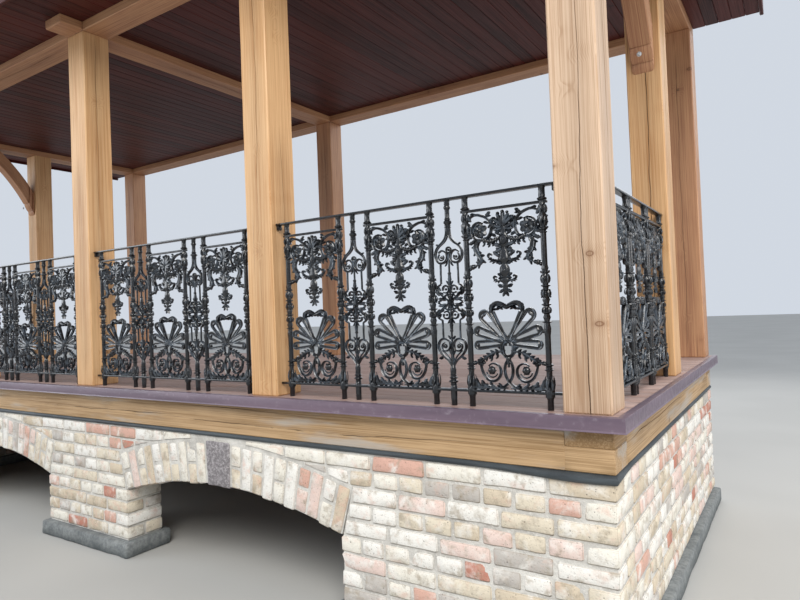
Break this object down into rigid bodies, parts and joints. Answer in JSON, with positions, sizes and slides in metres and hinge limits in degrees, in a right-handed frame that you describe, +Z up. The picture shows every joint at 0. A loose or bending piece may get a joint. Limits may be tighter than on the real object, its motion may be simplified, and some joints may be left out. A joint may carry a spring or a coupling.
{
  "type": "raised timber veranda with cast-iron balustrade on a brick plinth",
  "caption": "Raised timber veranda: brick plinth with arches, square posts, boarded ceiling and ornate cast-iron balustrades, cut off at the house wall.",
  "frame": {"origin": "middle of the bounding box on the level of the underside of the footings", "axes": "+X along the front to the right, +Y towards the house wall, +Z up"},
  "size_m": [7.884, 3.247, 3.658],
  "materials": {
    "concrete": "rough cast concrete",
    "brick": "reclaimed buff brick with recessed grey mortar",
    "arch_brick": "buff brick voussoirs on edge",
    "dark_brick": "dark speckled over-burnt brick",
    "felt": "bitumen felt, matte",
    "sill_timber": "weathered golden-brown oiled pine",
    "deck_timber": "pale pinkish-grey deck floor, matte",
    "post_timber": "honey-stained pine, satin",
    "hidden_timber": "plain sawn pine",
    "ceiling_timber": "dark red-brown stained boards, satin",
    "flashing": "brown-violet coated sheet steel, satin",
    "iron": "black gloss paint on cast iron"
  },
  "bodies": {
    "root": {"front_footings": "concrete", "side_footings": "concrete", "rear_footing": "concrete", "front_plinth_wall": "brick", "side_plinth_walls": "brick", "rear_plinth_wall": "brick", "arch_rings": "arch_brick", "arch_keystones": "dark_brick", "felt_strip": "felt", "front_sill": "sill_timber", "rear_sill": "sill_timber", "side_sills": "sill_timber", "deck_joists": "hidden_timber", "deck_floor": "deck_timber", "front_flashing": "flashing", "side_flashings": "flashing", "front_posts": "post_timber", "side_posts": "post_timber", "wall_posts": "post_timber", "front_plate": "post_timber", "rear_plate": "post_timber", "side_plates": "post_timber", "centre_tie_beam": "post_timber", "side_braces": "post_timber", "ceiling_joists": "hidden_timber", "ceiling_boards": "ceiling_timber", "eaves_lookouts": "hidden_timber", "front_soffit": "ceiling_timber", "side_soffits": "ceiling_timber", "front_fascia": "ceiling_timber", "side_fascias": "ceiling_timber", "bay_1_panels": "iron", "bay_2_panels": "iron", "bay_3_panels": "iron", "bay_4_panels": "iron", "bay_1_balusters": "iron", "bay_2_balusters": "iron", "bay_3_balusters": "iron", "bay_4_balusters": "iron", "left_side_panels": "iron", "right_side_panels": "iron", "front_handrails": "iron", "side_handrails": "iron", "rail_lugs": "iron"}
  },
  "joints": []
}
